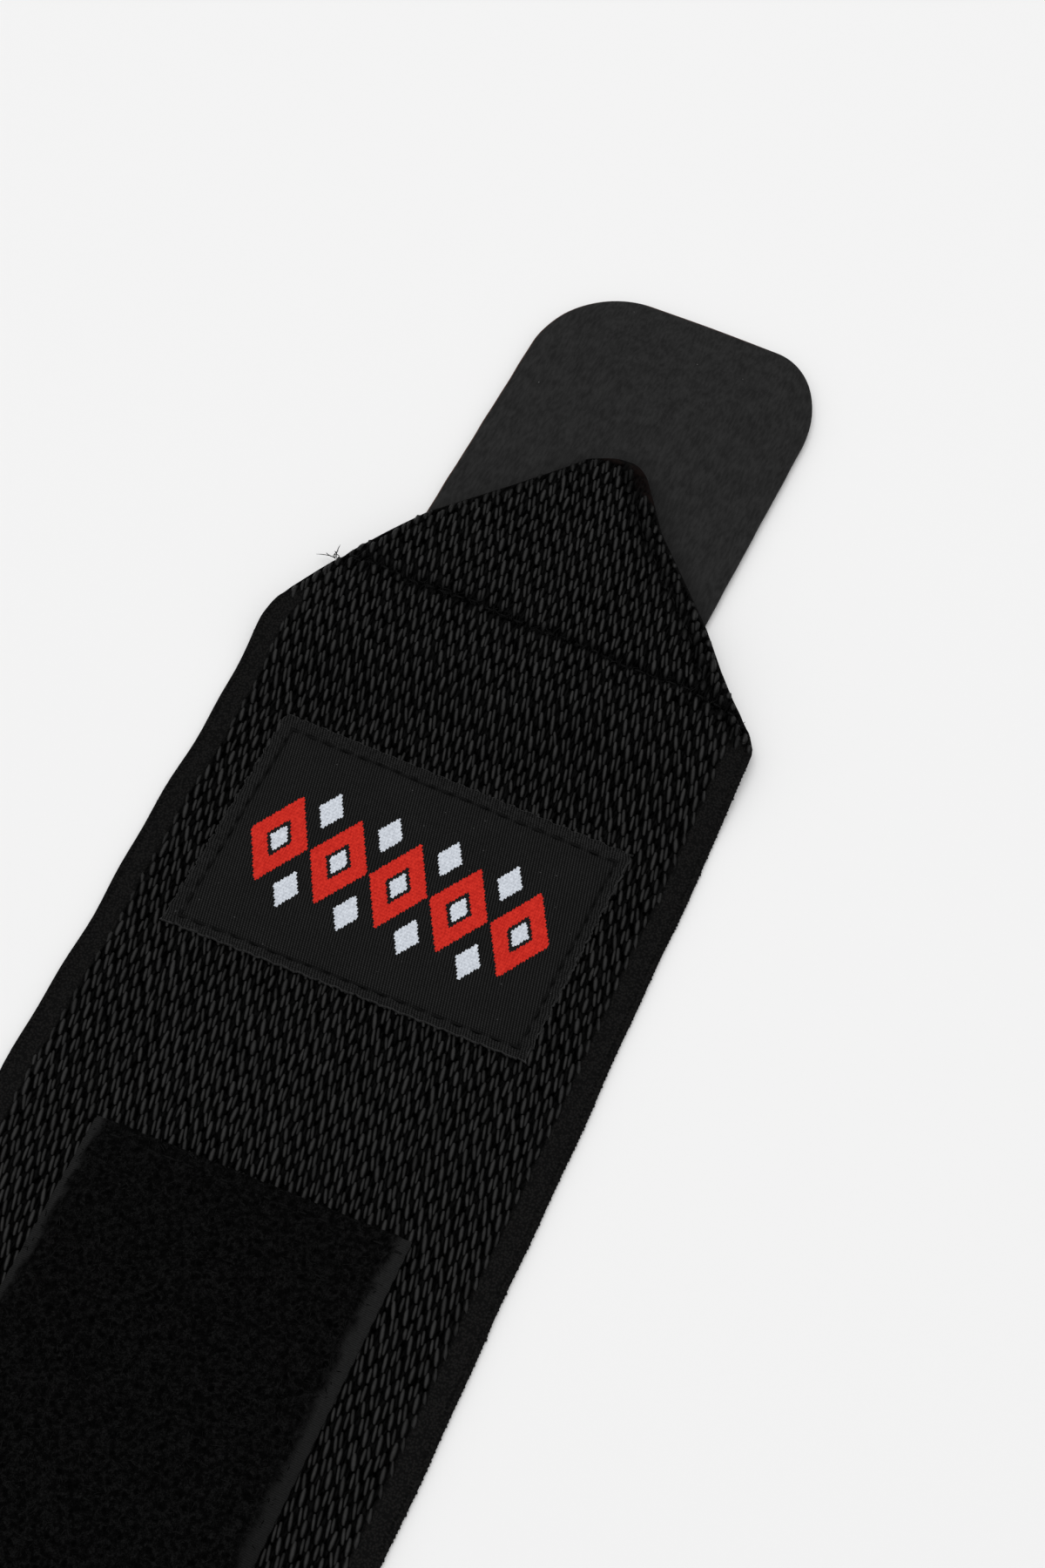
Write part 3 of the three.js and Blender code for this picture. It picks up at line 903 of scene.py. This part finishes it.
def edgeLoops():
    ys = np.arange(farEnd + 0.6, shoulder - 1, loops["pitch"])
    points, turns = [], []
    for side in (0, 1):
        y = ys + draw.normal(0, 0.05, len(ys))
        edge = bandEdges(y)[side] + (1 - 2 * side) * loops["inset"] + draw.normal(0, 0.04, len(y))
        height = faceBottom(edge, y) + loops["level"] + draw.normal(0, 0.03, len(y))
        points.append(np.stack([edge, y, height], 1))
        turns.append(math.radians(90) + draw.normal(0, 0.2, len(y)))
    points, turns = np.concatenate(points), np.concatenate(turns)
    return newStrands(
        "selvedge_loops", points, turning(turns), 0 * points + 1, 0 * turns + loops["tone"],
        loops["size"], Arch=0.1, Sides=4, Rings=3, Sway=0.1, Seed=6, Finish=yarnFinish,
    )


selvedgeLoops = edgeLoops()
report(bandStitches, selvedgeLoops)


# Hook tab: a thin ribbed tape, cut round at its free end, with hooks hanging from it
tab = {
    "width": 49.6, "hidden": 39.3, "shown": 34.5, "base": 0.6, "hook": 0.9, "margin": 1.6,
    "lean": 2.3, "root": -1.0, "cornerLeft": (15, 16), "cornerRight": (11.5, 17.3),
    "slopeDrop": 0.6, "cutSlope": (0.45, 0.95), "hookPitch": 1.45, "hookStem": 0.55,
    "hookCurl": 0.24, "hookThickness": 0.095,
}
tabHighCorner = tab["width"] / 2 - tab["cornerLeft"][0]
tabAngle = math.radians(tab["lean"])
tabReach = tab["hidden"] + tab["shown"] - tabHighCorner * math.sin(tabAngle)
tabLength = tabReach / math.cos(tabAngle)
tabRoot = (tab["root"], nose - tab["hidden"])


def cornerPull(corner, fromEnd):
    across, along = corner
    reach = np.clip(fromEnd / along, 0, 1)
    return across * (1 - np.sqrt(np.maximum(1 - (1 - reach) ** 2, 0)))


def tabSides(up):
    left = -tab["width"] / 2 + cornerPull(tab["cornerLeft"], tabLength - up)
    right = tab["width"] / 2 - cornerPull(tab["cornerRight"], tabLength - up)
    ragged = 0.03 * np.sin(up / 2.3) + 0.02 * np.sin(up / 1.1 + 1)
    return left + ragged, right + 0.7 * ragged


def tabGrid():
    corner = tab["cornerRight"][1]
    straight = np.linspace(0, tabLength - corner, 46)[:-1]
    rounded = tabLength - corner * (1 - np.sin(np.linspace(0, math.pi / 2, 30)))
    upper, lower, cloth, shade = [], [], [], []
    for up in np.concatenate([straight, rounded]):
        left, right = tabSides(up)
        across = spread(left, right, np.array([0, 0.1, 0.3, 0.6, 1.0, 1.6, 2.4]), 36)
        share = (across + tab["width"] / 2) / tab["width"]
        slope = tab["slopeDrop"] * smooth(*tab["cutSlope"], share) * up / tabLength
        rim = np.minimum(np.minimum(across - left, right - across), tabLength - up)
        crown = 0.07 * np.sin(across / 5.2 + up / 9.0) * smooth(0, 4, rim)
        top = tab["base"] + tab["hook"] - 0.12 * (1 - smooth(0, 0.5, rim)) + crown - 0.05
        placed = laidAt(tabRoot, -tab["lean"], across, up - slope, top)
        upper.append(placed)
        lower.append(laidAt(tabRoot, -tab["lean"], across, up - slope, tab["hook"]))
        cloth.append(np.stack([across, np.full_like(across, up), rim], 1))
        # painted shadow: the tape is darkened within a few millimetres of the band's point
        x, y = placed[:, 0], placed[:, 1]
        beside = -edgeInset(x, y)
        beside = np.where(y > nose, np.hypot(np.maximum(beside, 0), y - nose), beside)
        shade.append(1 - smooth(0.2, 4.5, beside))
    return np.array(upper), np.array(lower), {"cloth": np.array(cloth), "shade": np.array(shade)}


def tapeLook(board):
    plan = board.attribute("cloth")
    across, _, rim = board.parts(plan)
    dashes = board.noise(plan, 1.3, 1.0, (3.0, 0.9, 1), 20)
    blobs, fine = board.noise(plan, 2.6, 3.0), board.noise(plan, 0.28)
    lit = board.step(dashes, 0.3, 0.7) * 0.45 + board.step(blobs, 0.3, 0.7) * 0.35 + fine * 0.25
    colour = board.mix(lit, grey(0.0050), grey(0.0185))
    specks = 1 - board.step(board.cells(plan, 7.0), 0.012, 0.02)
    colour = board.mix(specks * 0.5, colour, grey(0.2))
    # painted shadow of the band's point, from the shade attribute
    colour = board.mix(board.attribute("shade", "Fac") * 0.5, colour, grey(0.003))
    # painted highlight: a thin brownish glow along the left part of the tape's cut rim
    cut = (1 - board.step(rim, 0.05, 0.24)) * (1 - board.step(across, 6, 16))
    colour = board.mix(cut * 0.8, colour, (0.085, 0.045, 0.032, 1))
    return board.surface(colour, 0.6, dashes * 1.2 + blobs * 0.9 + fine * 0.3, 0.09)


tapeFinish = newFinish("hook tape back", tapeLook, 0.08)
hookTape = newSheet("hook_tape", tabGrid(), tapeFinish, 50)


def hookLook(board):
    fine = board.noise(board.plan(), 0.2)
    return {"Base Color": board.mix(fine, grey(0.006), grey(0.014)), "Roughness": 0.38}


def hookField():
    pitch, inset = tab["hookPitch"], tab["margin"] + 0.4
    points, turns = [], []
    rows = np.arange(tab["margin"] + 0.6, tabLength - tab["margin"], pitch)
    for number, up in enumerate(rows):
        odd = number % 2
        left, right = tabSides(up)
        across = np.arange(left + inset + odd * pitch / 2, right - inset, pitch)
        points.append(laidAt(tabRoot, -tab["lean"], across, up, tab["hook"] + 0.05))
        turns.append(np.full(len(across), odd * math.pi))
    points, turns = np.concatenate(points), np.concatenate(turns)
    host = linked("hooks", newMesh("hooks", points, {"pose": turning(turns, math.pi)}))
    return grown(host, hookNodes, {
        "Stem": tab["hookStem"], "Curl": tab["hookCurl"], "Thickness": tab["hookThickness"],
        "Steps": 9, "Sway": 0.25, "Seed": 8, "Finish": newFinish("nylon hooks", hookLook),
    })


hooks = hookField()
report(hookTape, hooks)


# Woven label: turned edges, a stitched groove all round, and a plain woven border of lozenges
artwork = {
    "period": 9.9, "reach": 24.9, "middle": -0.6, "tall": 8.0, "wide": 4.75, "inner": 0.3,
    "ring": 0.14, "small": 0.42, "smallRise": 7.4, "pixel": 0.28, "relief": 0.06,
    "red": (0.62, 0.030, 0.018, 1), "white": (0.66, 0.70, 0.76, 1),
    "darkRed": (0.40, 0.012, 0.008, 1), "darkWhite": (0.44, 0.47, 0.52, 1),
}


def lozenges(across, up, floor, nearest, size, below):  # on numbers and on wires alike
    pixel, period, reach = (artwork[key] for key in ("pixel", "period", "reach"))
    u, v = ((floor(c / pixel) + 0.5) * pixel for c in (across, up - artwork["middle"]))
    inCell, between = (size(c - nearest(c / period) * period) for c in (u, u - period / 2))
    within, inner = below(size(u), reach), below(size(u), reach - period / 2)
    large = inCell / artwork["wide"] + size(v) / artwork["tall"]
    rise = size(size(v) - artwork["smallRise"])
    spot = between / artwork["wide"] + rise / artwork["tall"]
    return large, within, below(large, 1.0) * within, below(spot, artwork["small"]) * inner


def labelPlace(across, up, height, edge=1):
    taper = 1 - label["taper"] * across / (label["width"] / 2) / label["height"]
    return laidAt(labelMiddle, label["turn"], across * edge, up * taper * edge, height)


def labelGrid():
    rims, half = np.array([0, 0.1, 0.3, 0.6]), np.array([label["width"], label["height"]]) / 2
    counts = [round(2 * (reach - rims[-1]) / label["grid"]) for reach in half]
    across, up = np.meshgrid(*(spread(-reach, reach, rims, n) for reach, n in zip(half, counts)))
    rimX, rimY = half[0] - np.abs(across), half[1] - np.abs(up)
    rim = np.minimum(rimX, rimY)
    along = np.where(rimX < rimY, up, across)
    beat = np.cos(along * 2 * np.pi / label["stitchPitch"])
    left, right, low, high = label["stitchInset"]  # from the seam inwards, below 0 on the hem
    sides = (across + half[0] - left, half[0] - across - right, up + half[1] - low)
    border = np.minimum.reduce([*sides, half[1] - up - high])
    border = border + 0.08 * beat + 0.08 * np.sin(along / 2.3)
    groove = np.exp(-((border / 0.4) ** 2)) * (0.17 + 0.13 * beat)
    hem = (0.09 + 0.05 * beat) * (1 - smooth(-0.6, 0.2, border))
    crown = label["crown"] * np.interp(rim, [0, 0.25, 1.0, 3.4], [0.55, 0.85, 0.95, 1.0])
    ripple = 0.05 * np.sin(across / 3.3 + 1.1 * np.sin(up / 4.1)) * smooth(1, 5, rim)
    big, small = lozenges(across, up, np.floor, np.round, np.abs, np.less)[2:]
    relief = artwork["relief"] * (big | small)
    height = label["rest"] + crown + 0.08 * smooth(2.6, 6, rim) + ripple + hem - groove + relief
    scallop = 0.10 * np.sin(along * 2 * np.pi / 2.9) * (1 - smooth(0, 1.4, rim))
    fray = 0.07 * np.sin(along * 7.3) + 0.06 * np.sin(along * 4.1 + 1)
    edge = 1 + (scallop + fray * (1 - smooth(0, 0.3, rim))) / half[1]
    top = labelPlace(across, up, height, edge)
    under = labelPlace(across, up, label["rest"] + 0.02, edge)
    return top, under, {"plan": np.stack([across, up, border], -1), "dash": 0.5 + 0.5 * beat}


def labelLook(board):
    plan = board.attribute("plan")
    across, up, border = board.parts(plan)

    def floor(value):
        return board.math("FLOOR", value)

    def nearest(value):
        return board.math("ROUND", value)

    def below(value, most):
        return board.math("LESS_THAN", value, most)

    large, within, big, small = lozenges(across, up, floor, nearest, board.size, below)
    heart = below(large, artwork["inner"]) * within
    ring = below(large, artwork["inner"] + artwork["ring"]) * within - heart
    ribs, picks = board.ribs(across, up, 0.42, 14), board.ribs(across, up, 0.34, 90)
    satin = board.step(board.noise(plan, 0.6, 1.0, (2.6, 0.7, 1), -52), 0.3, 0.7) * 0.7
    satin = satin + board.ribs(across, up, 0.5, 90) * 0.3
    fuzz, slow = board.noise(plan, 0.5), board.noise(plan, 6.0)
    lit = ribs * (0.45 + 0.55 * picks) * (0.4 + 1.2 * fuzz)
    hem = (1 - board.step(border, -0.5, 0.2)) * (fuzz - 0.45) * 0.5
    ground = board.mix(lit * (0.75 + 0.4 * slow) + hem, grey(0.0012), grey(0.0215))
    specks = 1 - board.step(board.cells(plan, 2.6), 0.03, 0.06)
    ground = board.mix(specks * 0.35, ground, grey(0.12))
    # painted shade in the stitched groove round the border, deeper at each stitch
    dashed = 0.15 + 0.85 * board.attribute("dash", "Fac")
    grooveShade = (1 - board.step(board.size(border - 0.05), 0.05, 0.45)) * dashed
    ground = board.mix(grooveShade * (0.6 + 0.8 * fuzz), ground, grey(0.0008))
    colour = board.mix(big, ground, board.mix(satin, artwork["darkRed"], artwork["red"]))
    colour = board.mix(ring, colour, grey(0.008))
    pale = board.mix(satin, artwork["darkWhite"], artwork["white"])
    colour = board.mix(board.math("MAXIMUM", heart, small), colour, pale)
    rimX, rimY = label["width"] / 2 - board.size(across), label["height"] / 2 - board.size(up)
    cut = 1 - board.step(board.math("MINIMUM", rimX, rimY), 0.03, 0.2)
    colour = board.mix(cut * fuzz, colour, grey(0.05))
    drawn = board.math("MAXIMUM", big, small)
    height = ribs * (1 - drawn) + satin * drawn * 0.8 + picks * 0.25 + fuzz * 0.3
    return board.surface(colour, 0.62 - drawn * 0.14, height, 0.07)


labelFinish = newFinish("woven label", labelLook, 0.03)
labelCloth = newSheet("label_cloth", labelGrid(), labelFinish, 60)


def labelSeam():
    left, right, low, high = label["stitchInset"]
    x0, x1 = left - label["width"] / 2, label["width"] / 2 - right
    y0, y1 = low - label["height"] / 2, label["height"] / 2 - high
    corners = np.array([(x0, y0), (x1, y0), (x1, y1), (x0, y1), (x0, y0)])
    share, level = np.linspace(0.01, 0.99, 30)[:, None], label["rest"] + label["stitchLevel"]
    paths = []
    for start, end in zip(corners, corners[1:]):
        across, up = (start + (end - start) * share).T
        paths.append(labelPlace(across, up + 0.08 * np.sin(across / 3.1), level))
    return paths


labelStitches = sewn("label_stitches", labelSeam(), label["stitchPitch"], label["stitch"])
report(labelCloth, labelStitches)


# Loop pad: a ribbed tape with smooth edges, and a matted pile of fine loops
pile = {
    "grid": 0.7, "count": 11000, "size": (1.7, 0.12, 0.1), "arch": 0.5, "lump": 0.46,
    "groove": 2.2, "stitch": (2.8, 2.2, 0.34, 0.26),
}


def valueNoise(x, y, size, seed):  # smooth random heights, -1 to 1
    table = np.random.default_rng(seed).uniform(-1, 1, (256, 256))
    i, j = np.floor(x / size).astype(int), np.floor(y / size).astype(int)
    shareX, shareY = smooth(0, 1, x / size - i), smooth(0, 1, y / size - j)

    def row(j):
        first, second = table[i % 256, j % 256], table[(i + 1) % 256, j % 256]
        return first * (1 - shareX) + second * shareX

    return row(j) * (1 - shareY) + row(j + 1) * shareY


def padPlace(across, up, height):
    return laidAt(padCorner, pad["turn"], across, up, height)


def fromEnds(up):
    return np.minimum(-up, up + pad["length"])


def pileShare(across, up):  # 0 on the smooth edges, 1 in the pile
    left = across + pad["width"] / 2 - pad["edgeLeft"]
    right = pad["width"] / 2 - across - pad["edgeRight"]
    side = np.minimum(left, right) + 0.4 * valueNoise(across, up, 1.4, 3)
    return smooth(-0.1, 0.6, side)


def pileTop(across, up):
    groove = np.exp(-(((fromEnds(up) - pile["groove"]) / 0.8) ** 2))
    lumps = 0.55 * valueNoise(across, up, 1.3, 1) + 0.45 * valueNoise(across, up, 0.62, 2)
    body = pad["pile"] * (0.80 - 0.42 * groove) * smooth(-0.3, 0.8, fromEnds(up))
    height = body + pile["lump"] * lumps + 0.08 * valueNoise(across, up, 6.0, 4)
    return pad["rest"] + pad["base"] + pileShare(across, up) * np.maximum(height, 0.1)


def padGrid():
    rims, half = np.array([0, 0.12, 0.35, 0.8]), pad["width"] / 2
    columns = round(2 * (half - rims[-1]) / pile["grid"])
    rows = round((pad["length"] - 2 * rims[-1]) / pile["grid"])
    across, up = np.meshgrid(
        spread(-half, half, rims, columns), spread(-pad["length"], 0, rims, rows)
    )
    rim = half - np.abs(across)
    scallop = 0.07 * np.sin(up * 2 * np.pi / 1.02) * (1 - smooth(0, 0.8, rim))
    x = across * (1 + scallop / half)
    top = pileTop(across, up) - 0.2 * (1 - smooth(0, 0.45, np.minimum(rim, fromEnds(up))))
    cloth = np.stack([across, up, pileShare(across, up)], -1)
    return padPlace(x, up, top), padPlace(x, up, pad["rest"] + 0.02), {"cloth": cloth}


def padLook(board):
    plan = board.attribute("cloth")
    across, up, share = board.parts(plan)
    ribs, rows = board.ribs(across, up, 0.3, 88), board.ribs(across, up, 0.8, 0)
    edge = board.mix(ribs * 0.4 + board.noise(plan, 0.4) * 0.7, grey(0.003), grey(0.020))
    edge = board.mix((1 - board.step(up, -75, -8)) * 0.6, edge, grey(0.003))
    lumps = board.step(board.noise(plan, 0.9, 3.0), 0.36, 0.62)
    beyond = board.vector("ADD", {0: plan, 1: (7.3, 7.3, 0)})
    fine = board.curls(plan, 0.9, 2.5, 9.0) * 0.6 + board.curls(beyond, 0.55, 2.0, 8.0) * 0.5
    pits = board.step(board.cells(plan, 1.55), 0.1, 0.34)
    # the pile's fibre curls, with painted shade in the pits and painted light on the lumps
    curlsAndPaintedShade = (0.3 + 0.7 * lumps) * (0.2 + 1.2 * fine) * (0.08 + 0.92 * pits)
    colour = board.mix(share, edge, board.mix(curlsAndPaintedShade ** 1.4, grey(0.0001), grey(0.0080)))
    tape = (ribs * 0.5 + rows * 0.2) * (1 - share)
    height = tape + (fine + lumps + pits * 2.0) * share * 1.5
    return board.surface(colour, 0.75, height, 0.1)


padFinish = newFinish("loop tape", padLook, 0.02)
loopTape = newSheet("loop_tape", padGrid(), padFinish, 60)


def fibreLook(board):
    tone = board.attribute("tone", "Fac")
    return {"Base Color": board.mix(tone, grey(0.0002), grey(0.0095)), "Roughness": 0.6}


def pileFibres():
    count, half = pile["count"], pad["width"] / 2
    across = draw.uniform(-half + pad["edgeLeft"] - 0.4, half - pad["edgeRight"] + 0.5, count)
    up = draw.uniform(-pad["length"] + 0.2, -0.2, count)
    level = pileTop(across, up)
    height = level + draw.uniform(-0.06, 0.16, count)
    # painted shade: fibres low in the pits are darker, those on the lump tops brighter
    peak = smooth(0.55, 1.35, level - pad["rest"] - pad["base"])
    tone = draw.uniform(0.15, 1.0, count) * (0.2 + 0.8 * peak)
    tone = tone + 0.35 * (1 - smooth(0.3, 1.6, fromEnds(up)))
    leans = draw.normal(0, 0.35, count), draw.normal(0, 0.5, count)
    pose = np.stack([*leans, draw.uniform(0, 2 * np.pi, count)], 1)
    grow = [draw.uniform(*span, count) for span in ((0.8, 1.3), (0.45, 1.35), (0.8, 1.3))]
    return newStrands(
        "pile_fibres", padPlace(across, up, height), pose, np.stack(grow, 1), tone, pile["size"],
        Arch=pile["arch"], Sides=3, Rings=3, Sway=0.3, Seed=11,
        Finish=newFinish("pile fibre", fibreLook, 0.03),
    )


def padSeam():
    across = np.linspace(-pad["width"] / 2 + 1, pad["width"] / 2 - 1, 40)
    ups = [np.full(40, up) for up in (-pile["groove"], -pad["length"] + pile["groove"])]
    return [padPlace(across, up, pileTop(across, up) + 0.02) for up in ups]


fibres = pileFibres()
padStitches = sewn("pad_stitches", padSeam(), *pile["stitch"])
report(loopTape, fibres, padStitches)


# Frayed ends and stray threads: place, how many and how long
tufts = [(-34.2, 230.4, 8, 2.0), (36.3, 224.2, 6, 1.6), (37.6, 222.0, 3, 1.2)]
wisps = 150  # along the seam across the point


def frayedEnds():
    source = np.random.default_rng(5)

    def onTop(x, y, height):
        return np.array([x, y, float(clothTop(np.array(x), np.array(y))) + height])

    paths = []
    t = np.linspace(0, 1, 6)[:, None]
    for x, y, count, length in tufts:
        outwards = math.atan2(0.45, 1 if x > 0 else -1)
        for _ in range(count):
            angle = outwards + source.normal(0, 0.7)
            reach = length * source.uniform(0.5, 1.2)
            run = np.array([math.cos(angle), math.sin(angle), source.uniform(-0.1, 0.6)])
            bend = np.array([*source.normal(0, 0.5, 2), -0.4]) * t * t
            start = onTop(x, y, 0) + np.array([*source.normal(0, 0.35, 2), -0.2])
            paths.append(start + (run * t + bend) * reach)
    t = np.linspace(-1, 1, 5)[:, None]
    for share in source.uniform(0.03, 0.97, wisps):
        x = seamLow + (seamHigh - seamLow) * share + source.normal(0, 0.2)
        y = float(seamAt(x)) + source.normal(0, 0.45)
        angle, reach = source.uniform(0, 2 * math.pi), source.uniform(0.5, 1.1)
        base = onTop(x, y, source.uniform(-0.25, 0.02))
        bend = np.array([*source.normal(0, 0.3, 2), -0.12]) * t * t
        paths.append(base + (np.array([math.cos(angle), math.sin(angle), 0]) * t + bend) * reach)
    return paths


frayed = newThreads("frayed_ends", frayedEnds(), stitch["strand"], threadFinish, 4)
report(frayed)


# The pieces of each part ride on the root body, and the part solids are hidden
riders = {
    "elastic": [elasticBase, *weavePieces, bandStitches, selvedgeLoops, frayed],
    "hook_tape": [hookTape, hooks],
    "label": [labelCloth, labelStitches],
    "loop_tape": [loopTape, fibres, padStitches],
}
for slotName, pieces in riders.items():
    for piece in pieces:
        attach(piece, "root")
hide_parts("elastic_band")
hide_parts("hook_tab")
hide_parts("woven_label")
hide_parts("loop_pad")
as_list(riders["elastic"][1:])
triangles = {p.name: sum(len(f.vertices) - 2 for f in p.data.polygons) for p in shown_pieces()}
print("triangles:", sum(triangles.values()), triangles)
